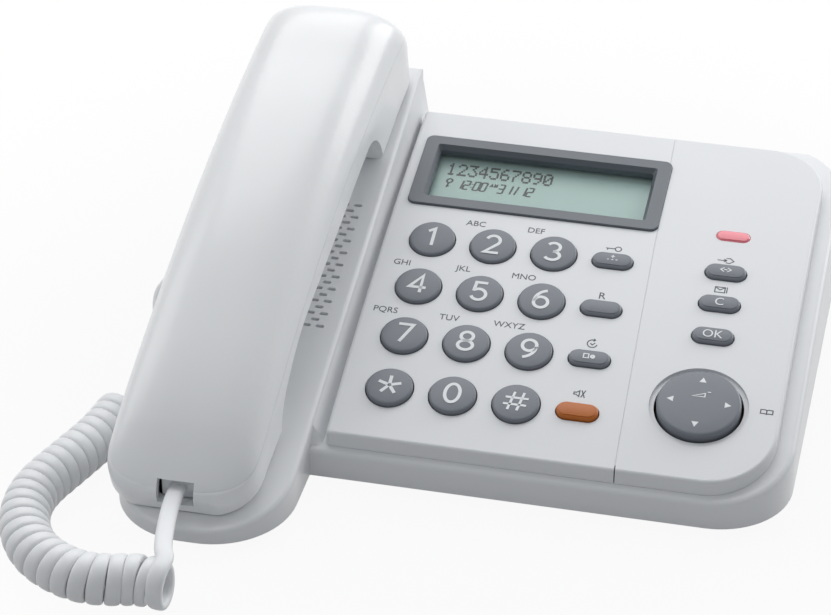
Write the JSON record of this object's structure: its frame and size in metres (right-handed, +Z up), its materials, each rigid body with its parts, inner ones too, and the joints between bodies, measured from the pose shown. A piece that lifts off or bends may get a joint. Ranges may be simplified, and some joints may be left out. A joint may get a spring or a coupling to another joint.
{
  "type": "corded telephone",
  "caption": "White corded desk phone with a lift-off handset on a curly cord, a sloped keypad deck, a rocking navigator disc and a display.",
  "frame": {"origin": "centre of the base's footprint at the plane of its rubber feet", "axes": "+X to the user's right, +Y away from the user, +Z up"},
  "size_m": [0.2224, 0.2231, 0.089],
  "materials": {
    "case": "white, satin gloss",
    "handset": "white, gloss",
    "bezel": "slate grey, satin",
    "window": "clear, flat",
    "lcd": "grey-green reflective display",
    "lamp": "translucent pink-red",
    "keys": "slate grey, satin",
    "mute_key": "orange, satin",
    "navigator": "slate grey, satin",
    "dark_plastic": "black, matte",
    "mat": "grey silicone",
    "board": "tan laminate",
    "steel": "nickel plated",
    "weight": "rough",
    "cells": "wrapped cells",
    "feet": "matte",
    "clear_plug": "clear-white",
    "cord": "white vinyl"
  },
  "bodies": {
    "base": {"top_cover": "case", "bottom_cover": "case", "keypad_panel": "case", "function_panel": "case", "display_bezel": "bezel", "display_window": "window", "lcd_module": "lcd", "message_lamp_lens": "lamp", "key_mat": "mat", "key_board": "board", "function_board": "board", "main_board": "board", "ringer_speaker": "dark_plastic", "line_jack": "dark_plastic", "base_cord_jack": "dark_plastic", "base_cord_plug": "clear_plug", "battery_cells": "cells", "battery_contacts": "steel", "rubber_feet": "feet", "case_screws": "steel", "curly_cord": "cord"},
    "handset": {"handset_outer_shell": "handset", "handset_inner_shell": "handset", "receiver_capsule": "dark_plastic", "microphone": "dark_plastic", "handset_weight": "weight", "handset_screws": "steel", "handset_cord_jack": "dark_plastic", "handset_cord_plug": "clear_plug"},
    "hook": {"hook_plunger": "dark_plastic"},
    "navigator_carrier": {"navigator_cross": "dark_plastic"},
    "navigator": {"navigator_disc": "navigator"},
    "battery_lid": {"battery_cover": "case"},
    "key_1_body": {"key_1": "keys"},
    "key_2_body": {"key_2": "keys"},
    "key_3_body": {"key_3": "keys"},
    "key_4_body": {"key_4": "keys"},
    "key_5_body": {"key_5": "keys"},
    "key_6_body": {"key_6": "keys"},
    "key_7_body": {"key_7": "keys"},
    "key_8_body": {"key_8": "keys"},
    "key_9_body": {"key_9": "keys"},
    "key_star_body": {"key_star": "keys"},
    "key_0_body": {"key_0": "keys"},
    "key_hash_body": {"key_hash": "keys"},
    "key_lock_body": {"key_lock": "keys"},
    "key_recall_body": {"key_recall": "keys"},
    "key_redial_body": {"key_redial": "keys"},
    "key_mute_body": {"key_mute": "mute_key"},
    "key_transfer_body": {"key_transfer": "keys"},
    "key_clear_body": {"key_clear": "keys"},
    "key_ok_body": {"key_ok": "keys"}
  },
  "joints": [
    {"name": "handset_lift", "type": "slide", "parent": "base", "child": "handset", "axis": [0, -0.2773, 0.9608], "range_m": [0, 0.06], "deforming": ["curly_cord"]},
    {"name": "hook_rise", "type": "slide", "parent": "base", "child": "hook", "axis": [0, -0.2773, 0.9608], "range_m": [0, 0.004]},
    {"name": "battery_lid_slide", "type": "slide", "parent": "base", "child": "battery_lid", "axis": [0, -1, 0], "range_m": [0, 0.008]},
    {"name": "navigator_up_down", "type": "hinge", "parent": "base", "child": "navigator_carrier", "pos_m": [0.0668, -0.02514, 0.01735], "axis": [1, 0, 0], "range_deg": [-2.5, 2.5], "stiffness_Nm_per_rad": 0.2},
    {"name": "navigator_left_right", "type": "hinge", "parent": "navigator_carrier", "child": "navigator", "pos_m": [0.0668, -0.02514, 0.01735], "axis": [0, 0.9703, 0.2419], "range_deg": [-2.5, 2.5], "stiffness_Nm_per_rad": 0.2},
    {"name": "key_1_press", "type": "slide", "parent": "base", "child": "key_1_body", "axis": [0, 0.2419, -0.9703], "range_m": [0, 0.0012], "stiffness_N_per_m": 500},
    {"name": "key_2_press", "type": "slide", "parent": "base", "child": "key_2_body", "axis": [0, 0.2419, -0.9703], "range_m": [0, 0.0012], "stiffness_N_per_m": 500},
    {"name": "key_3_press", "type": "slide", "parent": "base", "child": "key_3_body", "axis": [0, 0.2419, -0.9703], "range_m": [0, 0.0012], "stiffness_N_per_m": 500},
    {"name": "key_4_press", "type": "slide", "parent": "base", "child": "key_4_body", "axis": [0, 0.2419, -0.9703], "range_m": [0, 0.0012], "stiffness_N_per_m": 500},
    {"name": "key_5_press", "type": "slide", "parent": "base", "child": "key_5_body", "axis": [0, 0.2419, -0.9703], "range_m": [0, 0.0012], "stiffness_N_per_m": 500},
    {"name": "key_6_press", "type": "slide", "parent": "base", "child": "key_6_body", "axis": [0, 0.2419, -0.9703], "range_m": [0, 0.0012], "stiffness_N_per_m": 500},
    {"name": "key_7_press", "type": "slide", "parent": "base", "child": "key_7_body", "axis": [0, 0.2419, -0.9703], "range_m": [0, 0.0012], "stiffness_N_per_m": 500},
    {"name": "key_8_press", "type": "slide", "parent": "base", "child": "key_8_body", "axis": [0, 0.2419, -0.9703], "range_m": [0, 0.0012], "stiffness_N_per_m": 500},
    {"name": "key_9_press", "type": "slide", "parent": "base", "child": "key_9_body", "axis": [0, 0.2419, -0.9703], "range_m": [0, 0.0012], "stiffness_N_per_m": 500},
    {"name": "key_star_press", "type": "slide", "parent": "base", "child": "key_star_body", "axis": [0, 0.2419, -0.9703], "range_m": [0, 0.0012], "stiffness_N_per_m": 500},
    {"name": "key_0_press", "type": "slide", "parent": "base", "child": "key_0_body", "axis": [0, 0.2419, -0.9703], "range_m": [0, 0.0012], "stiffness_N_per_m": 500},
    {"name": "key_hash_press", "type": "slide", "parent": "base", "child": "key_hash_body", "axis": [0, 0.2419, -0.9703], "range_m": [0, 0.0012], "stiffness_N_per_m": 500},
    {"name": "key_lock_press", "type": "slide", "parent": "base", "child": "key_lock_body", "axis": [0, 0.2419, -0.9703], "range_m": [0, 0.0012], "stiffness_N_per_m": 500},
    {"name": "key_recall_press", "type": "slide", "parent": "base", "child": "key_recall_body", "axis": [0, 0.2419, -0.9703], "range_m": [0, 0.0012], "stiffness_N_per_m": 500},
    {"name": "key_redial_press", "type": "slide", "parent": "base", "child": "key_redial_body", "axis": [0, 0.2419, -0.9703], "range_m": [0, 0.0012], "stiffness_N_per_m": 500},
    {"name": "key_mute_press", "type": "slide", "parent": "base", "child": "key_mute_body", "axis": [0, 0.2419, -0.9703], "range_m": [0, 0.0012], "stiffness_N_per_m": 500},
    {"name": "key_transfer_press", "type": "slide", "parent": "base", "child": "key_transfer_body", "axis": [0, 0.2419, -0.9703], "range_m": [0, 0.0012], "stiffness_N_per_m": 500},
    {"name": "key_clear_press", "type": "slide", "parent": "base", "child": "key_clear_body", "axis": [0, 0.2419, -0.9703], "range_m": [0, 0.0012], "stiffness_N_per_m": 500},
    {"name": "key_ok_press", "type": "slide", "parent": "base", "child": "key_ok_body", "axis": [0, 0.2419, -0.9703], "range_m": [0, 0.0012], "stiffness_N_per_m": 500}
  ],
  "couplings": [
    {"joint": "hook_rise", "follows": "handset_lift", "ratio": 0.066667}
  ]
}
